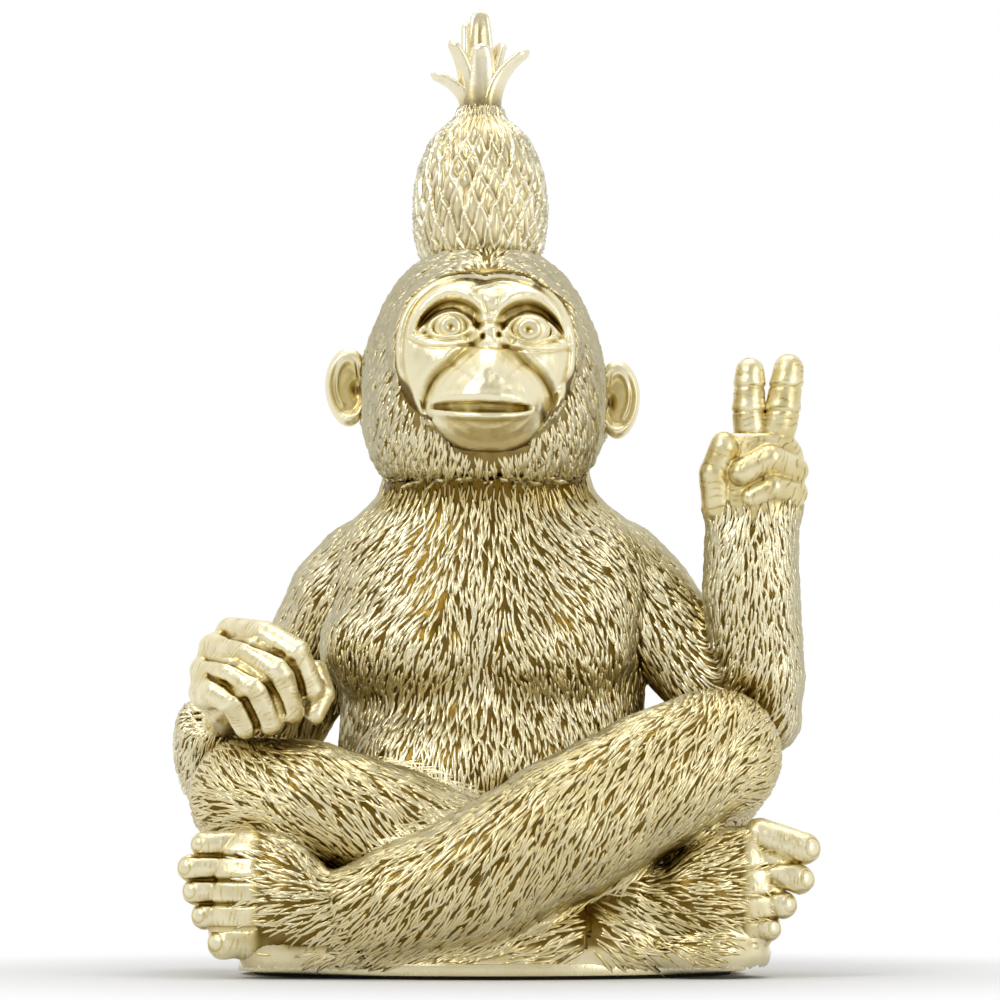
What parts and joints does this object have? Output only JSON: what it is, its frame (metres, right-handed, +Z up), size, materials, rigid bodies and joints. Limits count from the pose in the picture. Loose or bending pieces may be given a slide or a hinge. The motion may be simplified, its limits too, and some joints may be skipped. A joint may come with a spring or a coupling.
{
  "type": "monkey figurine",
  "caption": "Seated cross-legged monkey ornament with one hand raised and a pineapple on its head, resting on a flat felted base.",
  "frame": {"origin": "centre of the felt pad's underside, where the figurine rests", "axes": "+Z up, -Y towards the viewer of the face, +X to the right of someone who faces the figurine"},
  "size_m": [0.164, 0.1137, 0.25],
  "materials": {
    "gold_resin": "cast polyresin under pale champagne gold lacquer, darker bronze in the grooves of the fur",
    "felt": "thin pressed felt",
    "bung_rubber": "matt moulded rubber",
    "steel_pins": "cut steel rod"
  },
  "bodies": {
    "root": {"torso_shell": "gold_resin", "head_casting": "gold_resin", "pineapple_fruit": "gold_resin", "pineapple_crown": "gold_resin", "raised_arm": "gold_resin", "peace_hand": "gold_resin", "resting_arm": "gold_resin", "resting_fist": "gold_resin", "rear_leg": "gold_resin", "rear_foot": "gold_resin", "front_leg": "gold_resin", "front_foot": "gold_resin", "base_plate": "gold_resin", "felt_pad": "felt", "pour_hole_bung": "bung_rubber", "neck_pin": "steel_pins", "fruit_pin": "steel_pins", "crown_pin": "steel_pins", "raised_shoulder_pin": "steel_pins", "resting_shoulder_pin": "steel_pins", "raised_wrist_pin": "steel_pins", "resting_wrist_pin": "steel_pins", "rear_hip_pin": "steel_pins", "front_hip_pin": "steel_pins", "rear_ankle_pin": "steel_pins", "front_ankle_pin": "steel_pins"}
  },
  "joints": []
}
